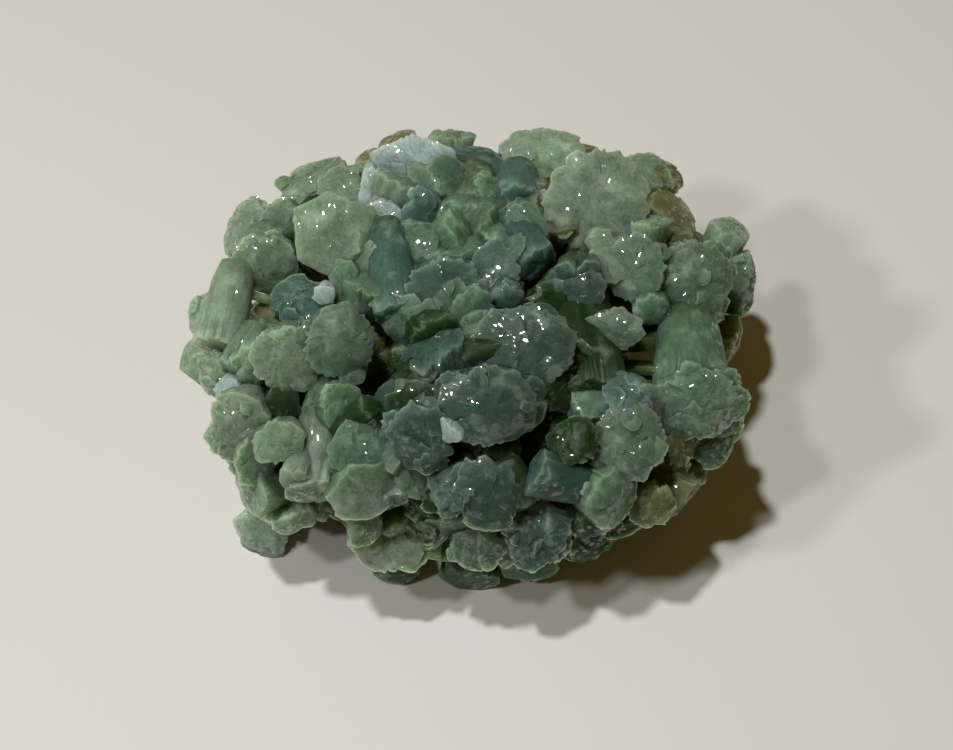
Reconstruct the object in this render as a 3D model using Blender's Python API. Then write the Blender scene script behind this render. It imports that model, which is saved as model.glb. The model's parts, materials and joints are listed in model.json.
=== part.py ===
"""Prehnite cluster: one intergrown mass of sheaf-shaped crystal bundles on a common middle.

Each bundle ("sheaf") is a stem that narrows to a waist and then flares like an open fan into a
scalloped head with a low crown. The heads that face the showy side are laid out one by one, and
the ones behind and below follow an even spiral. All of them are fused into one solid, which is cut
flat underneath where it was broken off its rock.
"""

import math
import zlib

import bmesh
import bpy
import numpy as np
from mathutils import Matrix, Vector

MM = 0.001

# The body that the heads stand on, a rounded box with these half sizes
BODY_HALF = (54 * MM, 42 * MM, 25.5 * MM)
BODY_HEIGHT = 25 * MM
BODY_SQUARENESS = 2.8

# The core inside it: its size as a share of the body's, and how rough its skin is
CORE_SHARE = 0.60
CORE_ROUGH = (0.94, 1.06)
CORE_SUBDIVISIONS = 3
CORE_SEED = 7

# The showy side is laid out as it is seen from in front and above, by an eye this far away and
# this far across and up from the line through the body's middle
LOOK_DOWN = math.radians(55)
EYE_DISTANCE = 400 * MM
EYE_ACROSS = 2.3 * MM
EYE_UP = -3.0 * MM
RIGHT = Vector((1, 0, 0))
UP = Vector((0, math.sin(LOOK_DOWN), math.cos(LOOK_DOWN)))
TOWARD = Vector((0, -math.cos(LOOK_DOWN), math.sin(LOOK_DOWN)))

# The steps in which the body's front is looked for along a line of sight, and how many each way
DEPTH_STEP = 0.5 * MM
DEPTH_STEPS = 130

# Puts the origin under the middle of the finished solid
ORIGIN_SHIFT = Vector((-0.7 * MM, -1.2 * MM, 0))

# How each form of head is shaped: squareness of its outline, depth of its scallops and height of
# its crown as a share of its smaller half width
FORMS = {
    "fan": (2.4, 0.10, 0.26),
    "dome": (2.2, 0.06, 0.50),
    "rough": (2.6, 0.09, 0.36),
    "block": (5.0, 0.03, 0.16),
    "comb": (3.2, 0.07, 0.28),
}

# name, across, up, lift off the body, heading and tilt of the axis in degrees, half width,
# half thickness, length down to the waist, waist share, scallops, form. Lengths are in millimetres.
# Heading 0 leans right and 90 up in the view; tilt 0 points at the viewer and 90 lies in the view.
SHEAVES = (
    ("crest_brown", -13.4, 44.2, -8, 100, 70, 3.9, 3.5, 14, 0.7, 5, "dome"),
    ("crest_brown_low", -18.8, 41.0, -7, 115, 70, 3.4, 3.0, 12, 0.7, 5, "dome"),
    ("frost_plate", -9.4, 38.4, 3, -95, 10, 8.4, 5.6, 12, 0.7, 9, "block"),
    ("frost_ledge", -16.8, 28.8, 2.5, -95, 15, 4.0, 2.4, 8, 0.8, 6, "block"),
    ("crest_teal", -2.6, 44.8, -4, 90, 65, 4.4, 3.4, 12, 0.7, 5, "rough"),
    ("crest_dome", 1.6, 38.0, -3, 90, 35, 6.6, 6.0, 14, 0.6, 7, "dome"),
    ("crest_rough", 15.0, 42.0, 0, 90, 35, 8.4, 5.6, 14, 0.6, 9, "rough"),
    ("crest_pink", 24.0, 42.0, -6, 80, 60, 3.2, 2.8, 12, 0.7, 5, "dome"),
    ("shell_big", 26.2, 32.0, 4, -90, 5, 10.2, 9.6, 15, 0.5, 13, "fan"),
    ("shell_tip", 27.2, 23.4, 2, -90, 15, 2.6, 2.6, 8, 0.8, 4, "block"),
    ("shell_crest", 35.4, 38.0, -1, 85, 40, 6.2, 5.0, 14, 0.6, 8, "fan"),
    ("crest_lumps", 40.4, 37.2, -3, 50, 60, 3.8, 3.4, 12, 0.7, 6, "rough"),
    ("honey_dome", 42.0, 29.4, -4, 30, 45, 5.8, 5.4, 14, 0.6, 6, "dome"),
    ("olive_ledge", 47.0, 24.0, -6, 60, 60, 4.0, 3.0, 12, 0.7, 5, "block"),
    ("horn_block", 53.6, 27.0, 0, 62, 80, 4.0, 3.2, 20, 0.85, 4, "block"),
    ("shoulder_rough", 46.0, 15.6, 4, -90, 5, 7.4, 7.0, 14, 0.6, 9, "rough"),
    ("cheek", 33.8, 18.2, 3, 180, 15, 6.6, 5.6, 14, 0.55, 9, "fan"),
    ("cheek_plates", 37.4, 9.8, 0, -90, 30, 3.6, 2.8, 8, 0.8, 5, "fan"),
    ("right_column", 45.4, -6.0, -1, -90, 60, 8.0, 5.4, 17, 0.9, 8, "block"),
    ("right_knob", 56.4, 15.6, -4, 0, 70, 6.2, 4.6, 14, 0.6, 7, "rough"),
    ("right_plate", 54.6, 3.6, -8, -10, 75, 5.8, 3.4, 12, 0.7, 5, "block"),
    ("rough_cushion", 46.4, -9.2, 3, -90, 20, 10.0, 7.2, 14, 0.55, 11, "rough"),
    ("cushion_under", 49.0, -16.0, -3, -70, 55, 7.4, 4.0, 12, 0.6, 8, "fan"),
    ("comb_fan", 32.0, -6.0, 3, 110, 40, 4.2, 4.2, 12, 0.5, 8, "comb"),
    ("lower_cheek", 33.0, -16.4, 3, -90, 10, 5.8, 7.2, 14, 0.6, 9, "dome"),
    ("pale_chip", 37.4, -18.0, 5, -90, 10, 2.2, 3.0, 7, 0.9, 4, "block"),
    ("pale_chip_upper", 36.6, -13.8, 5, -80, 20, 2.4, 1.8, 7, 0.9, 4, "block"),
    ("hex_chip", 23.0, -10.6, -1, -90, 0, 2.3, 2.1, 7, 0.9, 5, "block"),
    ("small_chip", 23.2, 1.6, 2, -70, 5, 1.8, 2.1, 6, 0.9, 4, "block"),
    ("dark_column", 25.4, -6.8, -3, -82, 58, 6.8, 5.0, 27, 0.8, 7, "block"),
    ("column_top", 22.2, 13.6, 1, -110, 30, 5.2, 5.0, 12, 0.6, 7, "rough"),
    ("deep_head", 20.2, -5.4, -2, -60, 15, 6.2, 6.8, 14, 0.6, 8, "dome"),
    ("finger_mid", -13.4, 9.2, 0, -80, 60, 4.3, 3.8, 21, 0.8, 6, "block"),
    ("teal_block", -8.2, 28.6, 1, -92, 15, 3.9, 4.5, 12, 0.95, 4, "block"),
    ("teal_block_tip", -7.8, 23.6, -3, -90, 20, 2.4, 2.2, 8, 0.9, 4, "block"),
    ("sage_slab", 0.6, 30.0, -4, -100, 40, 5.4, 4.6, 14, 0.6, 7, "fan"),
    ("sage_flank", 1.6, 24.6, -5, -120, 55, 4.6, 4.0, 14, 0.7, 6, "fan"),
    ("teal_column", 10.6, 31.6, -2, -90, 45, 4.6, 4.4, 10, 0.75, 6, "block"),
    ("tilted_block", 14.6, 19.2, 0, -62, 50, 4.0, 3.6, 14, 0.9, 4, "block"),
    ("glint_face", 6.0, 18.0, 3, 110, 10, 4.3, 6.4, 14, 0.8, 5, "block"),
    ("centre_fan", -3.8, 14.0, 4, -70, 15, 7.2, 5.8, 14, 0.5, 9, "fan"),
    ("centre_fan_lobe", 1.6, 10.6, 3, -80, 20, 3.6, 3.6, 10, 0.7, 5, "fan"),
    ("under_glint", 8.6, 12.0, 2, -80, 25, 3.4, 3.4, 10, 0.7, 5, "dome"),
    ("left_plate", -11.8, 7.2, 0, -120, 30, 6.4, 4.6, 12, 0.6, 6, "block"),
    ("frost_hollow", -7.2, 2.4, 3, 110, 60, 6.4, 4.2, 16, 0.45, 7, "fan"),
    ("centre_dome", 12.0, 2.6, 6, -90, 5, 9.0, 7.2, 15, 0.5, 11, "dome"),
    ("dark_gloss", 4.6, -9.4, 7, -90, 15, 8.8, 6.6, 15, 0.5, 11, "rough"),
    ("frosted_fan", -8.8, -15.8, 6, -100, 15, 5.6, 6.0, 13, 0.55, 9, "fan"),
    ("pale_wedge", -4.2, -14.2, 7, -120, 35, 3.4, 1.6, 8, 0.9, 3, "block"),
    ("teal_plate", -13.8, -9.0, 1, 180, 20, 5.2, 5.6, 12, 0.7, 6, "block"),
    ("dark_knob", -13.0, -0.4, -3, -120, 30, 2.8, 3.2, 10, 0.8, 5, "dome"),
    ("shadow_knob", 15.6, -16.4, -4, 180, 50, 3.6, 4.5, 12, 0.7, 6, "fan"),
    ("olive_finger", 18.6, 23.6, -6, -70, 60, 4.4, 3.6, 14, 0.8, 5, "block"),
    ("olive_finger_low", 23.6, 21.6, -8, -100, 50, 3.2, 3.0, 12, 0.8, 5, "fan"),
    ("brow", -30.4, 35.8, -1, 110, 40, 7.6, 4.6, 13, 0.6, 9, "rough"),
    ("brow_smooth", -24.8, 34.0, 1, 90, 25, 4.4, 5.2, 13, 0.7, 6, "dome"),
    ("frost_strip", -19.0, 33.4, 2, -88, 15, 2.0, 5.0, 9, 0.9, 4, "block"),
    ("pale_shield", -26.6, 25.2, 5, -75, 10, 7.0, 7.2, 14, 0.55, 8, "block"),
    ("corner_knob", -44.8, 26.6, -1, 150, 50, 5.8, 4.4, 14, 0.6, 7, "rough"),
    ("stripe_finger", -40.2, 19.2, 1, -90, 25, 6.4, 5.2, 14, 0.7, 8, "dome"),
    ("dark_flank", -32.5, 22.0, -3, -110, 50, 4.6, 4.0, 14, 0.7, 6, "block"),
    ("pale_finger", -49.6, 2.8, 0, -102, 72, 4.7, 4.0, 17, 0.8, 5, "block"),
    ("side_knob", -53.8, 9.2, -4, 175, 60, 4.6, 3.2, 12, 0.7, 6, "rough"),
    ("west_tip", -55.4, 1.6, -4, 140, 80, 3.4, 3.0, 16, 0.85, 4, "block"),
    ("west_cheek", -50.4, -3.4, -1, -150, 40, 4.4, 3.6, 10, 0.7, 6, "rough"),
    ("honey_inside", -40.0, 10.2, -8, 90, 35, 2.2, 3.2, 10, 0.8, 4, "block"),
    ("green_diagonal", -45.6, -2.4, -1, -110, 60, 3.6, 3.4, 10, 0.8, 5, "fan"),
    ("green_diagonal_low", -42.2, -1.4, 1, -90, 30, 3.0, 4.6, 10, 0.8, 5, "rough"),
    ("frost_chip", -47.2, -7.0, 2, -90, 15, 2.4, 3.0, 7, 0.9, 5, "block"),
    ("left_cheek", -35.8, 0.4, 4, -90, 15, 6.2, 5.8, 14, 0.55, 9, "fan"),
    ("palm", -25.0, 4.0, 5, 0, 15, 7.2, 6.0, 14, 0.5, 10, "fan"),
    ("teal_rough_left", -33.4, 12.0, 1, 120, 20, 4.8, 5.4, 13, 0.6, 8, "rough"),
    ("palm_wrist", -23.8, 14.2, 0, -90, 20, 3.2, 4.8, 12, 0.7, 6, "rough"),
    ("pale_facet", -28.2, 13.0, 3, -90, 10, 2.0, 1.9, 7, 0.9, 4, "block"),
    ("long_finger", -30.6, -26.6, 2, -98, 72, 4.7, 4.0, 24, 0.72, 7, "fan"),
    ("finger_shoulder", -24.4, -9.4, 2, -10, 25, 4.4, 3.8, 12, 0.7, 6, "fan"),
    ("dark_recess", -36.8, -11.4, -4, -90, 25, 3.6, 6.4, 12, 0.8, 6, "dome"),
    ("ledge_fan", -45.0, -14.0, 1, -105, 25, 5.4, 7.0, 14, 0.6, 8, "comb"),
    ("left_block", -43.0, -25.8, -1, 190, 35, 5.0, 4.6, 13, 0.7, 5, "block"),
    ("foot_left", -40.8, -35.6, -13, -110, 30, 4.8, 5.4, 13, 0.6, 8, "fan"),
    ("foot_lump", -33.6, -32.4, -6, -70, 45, 5.0, 4.0, 12, 0.6, 7, "fan"),
    ("knuckle", -21.6, -18.0, 3, -90, 5, 5.0, 5.2, 13, 0.6, 8, "fan"),
    ("wedge", -20.2, -26.8, 4, -45, 30, 5.6, 5.4, 14, 0.6, 5, "block"),
    ("back_plate", -15.2, -23.6, 1, -20, 30, 4.6, 4.2, 12, 0.7, 7, "comb"),
    ("bright_crumb", -15.4, -17.4, -1, -60, 20, 1.2, 1.2, 6, 0.9, 3, "block"),
    ("belly_left", -15.6, -37.4, 1, -90, 15, 6.4, 5.0, 13, 0.6, 9, "fan"),
    ("belly_under", -13.8, -43.0, -9, -90, 45, 4.8, 2.6, 10, 0.7, 6, "fan"),
    ("striped_flank", -8.6, -34.4, 0, -120, 50, 3.2, 3.0, 12, 0.7, 5, "comb"),
    ("twin_left", -2.4, -25.0, 4, 120, 15, 4.6, 4.4, 13, 0.6, 7, "fan"),
    ("twin_right", 4.6, -27.4, 5, -60, 15, 5.4, 6.4, 14, 0.55, 8, "fan"),
    ("nose_block", 2.2, -37.6, 4, -90, 20, 4.8, 4.4, 13, 0.7, 6, "rough"),
    ("chin", 1.2, -44.0, -9, -90, 50, 5.4, 4.4, 12, 0.6, 7, "fan"),
    ("oval", 14.4, -34.6, 4, -60, 10, 5.6, 6.4, 14, 0.5, 11, "rough"),
    ("under_oval", 13.0, -41.8, -6, -90, 45, 5.4, 3.2, 10, 0.7, 7, "fan"),
    ("dark_twin", 23.0, -31.0, -2, -70, 25, 4.2, 3.4, 11, 0.7, 6, "fan"),
    ("bow_right", 29.6, -27.4, 4, -30, 42, 5.8, 4.6, 15, 0.45, 6, "dome"),
    ("bow_left", 13.6, -22.4, 1, 165, 70, 4.4, 3.8, 14, 0.6, 7, "fan"),
    ("right_under_plate", 36.2, -31.4, -5, -60, 50, 4.4, 3.0, 12, 0.7, 5, "block"),
    ("bow_under", 29.0, -34.4, -6, -90, 60, 4.0, 2.4, 10, 0.7, 5, "fan"),
    ("olive_plates", 40.0, -22.8, -4, -60, 40, 5.2, 3.8, 12, 0.6, 7, "fan"),
    ("deep_chip", 24.6, -35.8, -8, -90, 60, 3.0, 2.2, 10, 0.7, 5, "fan"),
    ("dark_pocket", -8.4, -29.4, -3, -60, 20, 3.6, 3.0, 10, 0.7, 6, "dome"),
    ("pocket_ribs", 12.2, -27.4, -3, -40, 30, 3.2, 3.0, 10, 0.7, 6, "comb"),
)

# The heads behind and below, on an even spiral round the body, which leaves out the ones that
# would close the gap on the right or stand past the low right corner, where the mass ends
BACK_POINTS = 96
BACK_FACING = -0.12
BACK_BARE = (55, 59, 60, 63, 65)
BACK_HALF = (6.2 * MM, 8.6 * MM)
BACK_LENGTH = 12 * MM
BACK_LIFT = (-3.0 * MM, 0.0 * MM)
BACK_LEAN = 0.3
BACK_WAIST = 0.6
BACK_LOBES = (6, 10)
BACK_SEED = 1000
GOLDEN_ANGLE = math.pi * (3 - math.sqrt(5))
BACK_FORMS = ("fan", "rough", "dome", "block", "comb")

# How unevenly wide the scallops of a head are, and how unevenly far they reach
LOBE_WIDTH = (0.6, 1.4)
LOBE_REACH = (-0.6, 1.0)

# Rings round a sheaf: corners on a large and on a small head, and the head size between them
CORNERS_LARGE = 9
CORNERS_SMALL = 6
LARGE_HEAD = 4.0 * MM

# The stem from a head's waist to the core: where it ends on the way to the middle, its corners, and
# its half width at both ends as a share of the waist's
STEM_SHARE = 0.42
STEM_CORNERS = 5
STEM_TOP = 0.9
STEM_FOOT = 0.7

# How far the closing points of heads and stems lie beyond their last rings, in half thicknesses
HEAD_POINT = 0.3
STEM_POINT = 0.2

# Faces kept when the fused solid is made lighter
FACES_KEPT = 0.5

# The block that cuts the flat underside
CUTTER_SIDE = 300 * MM
CUTTER_DEPTH = 60 * MM

# Milky green stone with glassy faces
STONE_COLOUR = (0.36, 0.46, 0.36, 1)
STONE_ROUGHNESS = 0.3
STONE_IOR = 1.63


def body_level(point):
    """1 on the rounded box, less inside it and more outside it."""
    local = point - Vector((0, 0, BODY_HEIGHT))
    return sum(abs(local[i] / BODY_HALF[i]) ** BODY_SQUARENESS for i in range(3))


def seen_point(across, up, toward):
    """The point that is seen at (across, up) in the view, at a depth towards the viewer."""
    nearer = (EYE_DISTANCE - toward) / EYE_DISTANCE
    flat_across = EYE_ACROSS + (across - EYE_ACROSS) * nearer
    flat_up = EYE_UP + (up - EYE_UP) * nearer
    return RIGHT * flat_across + UP * flat_up + TOWARD * toward + Vector((0, 0, BODY_HEIGHT))


def body_depth(across, up):
    """How far towards the viewer the body's front lies, or its nearest point past the outline."""
    depths = [i * DEPTH_STEP for i in range(DEPTH_STEPS, -DEPTH_STEPS, -1)]
    levels = [body_level(seen_point(across, up, depth)) for depth in depths]
    for depth, level in zip(depths, levels):
        if level <= 1:
            return depth
    return depths[levels.index(min(levels))]


def laid_out(row):
    """A row of the layout as a head's place, its axis and side direction, and its sizes."""
    name, across, up, lift, heading, tilt, wide, thick, length, waist, lobes, form = row
    depth = body_depth(across * MM, up * MM) + lift * MM
    place = seen_point(across * MM, up * MM, depth)
    turn, lean = math.radians(heading), math.radians(tilt)
    flat = RIGHT * math.cos(turn) + UP * math.sin(turn)
    axis = TOWARD * math.cos(lean) + flat * math.sin(lean)
    side = UP * math.cos(turn) - RIGHT * math.sin(turn)
    return name, place, axis, side, wide * MM, thick * MM, length * MM, waist, lobes, form


def spread_behind():
    """Heads on the sides that the layout doesn't reach, by an even spiral over the body."""
    for i in range(BACK_POINTS):
        rng = np.random.default_rng(BACK_SEED + i)
        height = 1 - (2 * i + 1) / BACK_POINTS
        ring = math.sqrt(1 - height * height)
        angle = GOLDEN_ANGLE * i
        way = Vector((ring * math.cos(angle), ring * math.sin(angle), height))
        reach = sum(abs(way[k] / BODY_HALF[k]) ** BODY_SQUARENESS for k in range(3))
        spot = way * reach ** (-1 / BODY_SQUARENESS)
        slope = [
            math.copysign(abs(spot[k] / BODY_HALF[k]) ** (BODY_SQUARENESS - 1), spot[k]) / BODY_HALF[k]
            for k in range(3)
        ]
        out = Vector(slope).normalized()
        wide, thick = (float(x) for x in rng.uniform(*BACK_HALF, 2))
        lift = float(rng.uniform(*BACK_LIFT))
        lean = Vector(rng.uniform(-BACK_LEAN, BACK_LEAN, 3).tolist())
        side = Vector(rng.normal(0, 1, 3).tolist())
        lobes = int(rng.integers(*BACK_LOBES))
        form = BACK_FORMS[int(rng.integers(len(BACK_FORMS)))]
        if i in BACK_BARE or out.dot(TOWARD) > BACK_FACING:
            continue
        axis = (out + lean).normalized()
        side = axis.cross(side).normalized()
        place = spot + out * lift + Vector((0, 0, BODY_HEIGHT))
        yield f"back_{i}", place, axis, side, wide, thick, BACK_LENGTH, BACK_WAIST, lobes, form


def outline(angles, wide, thick, squareness, depth, lobes, rng):
    """The head's radius at each angle: a rounded rectangle whose scallops reach unevenly far."""
    edges = np.cumsum(rng.uniform(*LOBE_WIDTH, lobes))
    edges *= 2 * math.pi / edges[-1]
    reach = rng.uniform(*LOBE_REACH, lobes) * depth
    part = np.searchsorted(edges, angles % (2 * math.pi)) % lobes
    cosine, sine = np.abs(np.cos(angles)) / wide, np.abs(np.sin(angles)) / thick
    radius = (cosine**squareness + sine**squareness) ** (-1 / squareness)
    return radius * (1 + reach[part])


def turned_mesh(name, first, rings, last):
    """A closed mesh from an end point, rings of points one behind the other, and an end point."""
    corners = len(rings[0])
    points = [first, *(point for ring in rings for point in ring), last]
    faces = []
    for i in range(corners):
        j = (i + 1) % corners
        faces.append((0, 1 + i, 1 + j))
        for ring in range(len(rings) - 1):
            start = 1 + ring * corners
            below = start + corners
            faces.append((start + i, below + i, below + j, start + j))
        start = 1 + (len(rings) - 1) * corners
        faces.append((len(points) - 1, start + j, start + i))
    mesh = bpy.data.meshes.new(name)
    mesh.from_pydata([(point + ORIGIN_SHIFT)[:] for point in points], [], faces)
    return mesh


def ring_of(centre, axis, side, angles, radius):
    """Points round a centre, in the plane across the axis."""
    other = axis.cross(side)
    ways = [side * math.cos(angle) + other * math.sin(angle) for angle in angles]
    return [centre + way * float(reach) for way, reach in zip(ways, radius)]


def sheaf_meshes(name, place, axis, side, wide, thick, length, waist, lobes, form):
    """One bundle as two closed meshes: its head, and the stem from there into the core."""
    squareness, depth, crown = FORMS[form]
    rng = np.random.default_rng(zlib.crc32(name.encode()))
    corners = CORNERS_LARGE if max(wide, thick) > LARGE_HEAD else CORNERS_SMALL
    angles = np.arange(corners) * 2 * math.pi / corners
    radius = outline(angles, wide, thick, squareness, depth, lobes, rng)
    rise = crown * min(wide, thick)
    root = place - axis * length
    rim = ring_of(place, axis, side, angles, radius)
    neck = ring_of(root, axis, side, angles, radius * waist)
    yield turned_mesh(name, place + axis * rise, [rim, neck], root - axis * thick * HEAD_POINT)
    middle = Vector((0, 0, BODY_HEIGHT))
    anchor = middle + (root - middle) * STEM_SHARE
    back = (root - anchor).normalized()
    across = back.orthogonal().normalized()
    angles = np.arange(STEM_CORNERS) * 2 * math.pi / STEM_CORNERS
    half = np.full(STEM_CORNERS, min(wide, thick) * waist)
    top = ring_of(root, back, across, angles, half * STEM_TOP)
    foot = ring_of(anchor, back, across, angles, half * STEM_FOOT)
    beyond = back * thick * STEM_POINT
    yield turned_mesh(name + "_stem", root + beyond, [top, foot], anchor - beyond)


def core_mesh():
    """The middle where the stems meet, a smaller rounded box with a rough skin."""
    bpy.ops.mesh.primitive_ico_sphere_add(subdivisions=CORE_SUBDIVISIONS, radius=1)
    ball = bpy.context.object
    mesh = ball.data
    rng = np.random.default_rng(CORE_SEED)
    for vertex in mesh.vertices:
        way = vertex.co.normalized()
        reach = sum(abs(way[k] / BODY_HALF[k]) ** BODY_SQUARENESS for k in range(3))
        far = CORE_SHARE * reach ** (-1 / BODY_SQUARENESS) * rng.uniform(*CORE_ROUGH)
        vertex.co = way * far + Vector((0, 0, BODY_HEIGHT)) + ORIGIN_SHIFT
    bpy.data.objects.remove(ball)
    return mesh


def prehnite_material():
    material = bpy.data.materials.new("prehnite")
    material.use_nodes = True
    shader = material.node_tree.nodes["Principled BSDF"]
    shader.inputs["Base Color"].default_value = STONE_COLOUR
    shader.inputs["Roughness"].default_value = STONE_ROUGHNESS
    shader.inputs["IOR"].default_value = STONE_IOR
    return material


def floor_cutter():
    """A block under the resting plane, which takes off what would stand below it."""
    bpy.ops.mesh.primitive_cube_add(size=1)
    block = bpy.context.object
    block.data.transform(Matrix.Diagonal((CUTTER_SIDE, CUTTER_SIDE, CUTTER_DEPTH, 1)))
    block.data.transform(Matrix.Translation((0, 0, -CUTTER_DEPTH / 2)))
    block.name = "floor_cutter"
    block.hide_render = True
    block.display_type = "WIRE"
    return block


def without_sealed_hollows(mesh):
    """Keeps only the outermost skin, so that the gaps walled in between stems are solid."""
    work = bmesh.new()
    work.from_mesh(mesh)
    unseen = set(work.faces)
    skins = []
    while unseen:
        skin = [unseen.pop()]
        for face in skin:
            for edge in face.edges:
                near = [other for other in edge.link_faces if other in unseen]
                skin.extend(near)
                unseen.difference_update(near)
        skins.append(skin)
    skins.sort(key=lambda skin: sum(face.calc_area() for face in skin))
    inner = [face for skin in skins[:-1] for face in skin]
    bmesh.ops.delete(work, geom=inner, context="FACES")
    work.to_mesh(mesh)
    work.free()


def main():
    for old in list(bpy.data.objects):
        bpy.data.objects.remove(old)
    scene = bpy.context.scene
    cluster = bpy.data.objects.new("prehnite_cluster", core_mesh())
    scene.collection.objects.link(cluster)
    sheaves = bpy.data.collections.new("sheaves")
    scene.collection.children.link(sheaves)
    for row in [laid_out(row) for row in SHEAVES] + list(spread_behind()):
        for mesh in sheaf_meshes(*row):
            sheaves.objects.link(bpy.data.objects.new(mesh.name, mesh))
    grown = cluster.modifiers.new("grown together", "BOOLEAN")
    grown.operation = "UNION"
    grown.operand_type = "COLLECTION"
    grown.collection = sheaves
    grown.solver = "MANIFOLD"
    lighter = cluster.modifiers.new("fewer faces", "DECIMATE")
    lighter.ratio = FACES_KEPT
    graph = bpy.context.evaluated_depsgraph_get()
    mesh = bpy.data.meshes.new_from_object(cluster.evaluated_get(graph))
    cluster.modifiers.clear()
    for piece in list(sheaves.objects):
        bpy.data.objects.remove(piece)
    without_sealed_hollows(mesh)
    mesh.materials.clear()
    mesh.materials.append(prehnite_material())
    cluster.data = mesh
    cut = cluster.modifiers.new("flat underneath", "BOOLEAN")
    cut.operation = "DIFFERENCE"
    cut.solver = "MANIFOLD"
    cut.object = floor_cutter()


main()
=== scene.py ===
import json
import math
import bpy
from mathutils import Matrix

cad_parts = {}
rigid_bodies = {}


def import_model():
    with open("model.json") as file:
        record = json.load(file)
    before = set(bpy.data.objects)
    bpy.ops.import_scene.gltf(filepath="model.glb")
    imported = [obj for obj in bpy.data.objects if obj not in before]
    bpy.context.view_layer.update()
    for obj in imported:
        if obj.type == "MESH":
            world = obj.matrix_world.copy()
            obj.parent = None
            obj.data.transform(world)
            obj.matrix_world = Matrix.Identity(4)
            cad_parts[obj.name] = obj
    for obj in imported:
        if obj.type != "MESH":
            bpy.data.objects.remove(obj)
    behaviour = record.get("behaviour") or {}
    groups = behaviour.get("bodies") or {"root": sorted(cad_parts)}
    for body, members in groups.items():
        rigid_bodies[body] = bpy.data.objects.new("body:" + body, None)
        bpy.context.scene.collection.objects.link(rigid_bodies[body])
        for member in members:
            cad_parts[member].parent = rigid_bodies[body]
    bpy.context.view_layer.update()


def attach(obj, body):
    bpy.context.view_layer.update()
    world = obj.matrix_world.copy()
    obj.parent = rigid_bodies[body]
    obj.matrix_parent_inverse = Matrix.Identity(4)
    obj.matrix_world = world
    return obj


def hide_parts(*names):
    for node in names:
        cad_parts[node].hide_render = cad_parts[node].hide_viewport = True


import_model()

import zlib

import bmesh
import bpy
import numpy as np
from mathutils import Matrix, Vector

# The cluster: prehnite, a milky green silicate that grew in a hollow of the rock as bundles of
# thin crystals. Each bundle is a stem that flares into a scalloped head, and all of them grew into
# each other and onto one common middle, which was broken off the rock flat underneath.
MM = 0.001
LOOK_DOWN = math.radians(55)
EYE_DISTANCE = 400 * MM
EYE_ACROSS = 2.3 * MM
EYE_UP = -3.0 * MM
RIGHT = np.array((1.0, 0.0, 0.0))
UP = np.array((0.0, math.sin(LOOK_DOWN), math.cos(LOOK_DOWN)))
TOWARD = np.array((0.0, -math.cos(LOOK_DOWN), math.sin(LOOK_DOWN)))
BODY_HALF = np.array((54.0, 42.0, 25.5)) * MM
BODY_MIDDLE = np.array((0.0, 0.0, 25.0)) * MM
BODY_SQUARENESS = 2.8
CORE_SHARE = 0.60
ORIGIN_SHIFT = np.array((-0.7, -1.2, 0.0)) * MM
DEPTH_STEP = 0.5
DEPTH_STEPS = 130

# Reflected colours of the bundles: root, body and rim of each tone. The darker root is painted shade
# down among the stems, and the paler rim is painted light shining through the thin edges. The deep and
# olive tones, given to bundles set back in the clefts, are darkened by painted shade
TONES = {
    "frost": ((0.12, 0.18, 0.14), (0.30, 0.385, 0.38), (0.44, 0.52, 0.50)),
    "pale": ((0.10, 0.15, 0.09), (0.205, 0.285, 0.215), (0.38, 0.46, 0.36)),
    "sage": ((0.06, 0.10, 0.05), (0.150, 0.218, 0.153), (0.29, 0.37, 0.27)),
    "slate": ((0.04, 0.075, 0.05), (0.060, 0.118, 0.098), (0.19, 0.27, 0.24)),
    "moss": ((0.04, 0.07, 0.03), (0.090, 0.152, 0.102), (0.18, 0.26, 0.18)),
    "teal": ((0.022, 0.045, 0.02), (0.040, 0.078, 0.062), (0.12, 0.18, 0.15)),
    "deep": ((0.012, 0.026, 0.006), (0.012, 0.036, 0.009), (0.05, 0.09, 0.045)),
    "olive": ((0.035, 0.045, 0.005), (0.088, 0.103, 0.044), (0.15, 0.18, 0.08)),
    "honey": ((0.12, 0.11, 0.02), (0.16, 0.172, 0.080), (0.30, 0.29, 0.17)),
}

# Each form of head: how many flat sides its outline has, uneven reach of its lobes, notch between
# them, raggedness of its rim in millimetres, crown height as a share of the smaller half width, how
# flat that crown is, slope of the crown, how many big facets cut it and their steepest slope, size,
# step and slope of its small broken facets in millimetres, how many chips split off its rim and
# how many knobs sit on it for every 3 mm of its size, how unevenly its glassy facets lie and what
# share of its surface they are
FORMS = {
    "fan": (9, 0.09, 0.08, 0.46, 0.20, 3.4, 0.14, 3, 0.40, 2.8, 0.05, 0.10, 1.4, 0.0, 0.55, 0.25),
    "dome": (10, 0.06, 0.05, 0.36, 0.30, 2.6, 0.10, 3, 0.25, 2.6, 0.04, 0.09, 0.8, 0.3, 0.65, 0.55),
    "rough": (9, 0.08, 0.06, 0.44, 0.28, 2.8, 0.12, 3, 0.35, 2.2, 0.06, 0.12, 1.6, 1.4, 0.80, 0.50),
    "block": (6, 0.04, 0.02, 0.24, 0.10, 5.0, 0.18, 4, 0.55, 3.0, 0.03, 0.06, 0.4, 0.0, 0.45, 0.40),
    "comb": (7, 0.08, 0.06, 0.42, 0.22, 3.2, 0.12, 3, 0.40, 1.9, 0.07, 0.12, 1.0, 1.2, 0.60, 0.65),
    "shell": (13, 0.06, 0.08, 0.50, 0.14, 3.2, 0.06, 3, 0.25, 2.8, 0.04, 0.07, 0.4, 0.0, 0.50, 0.22),
}

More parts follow.
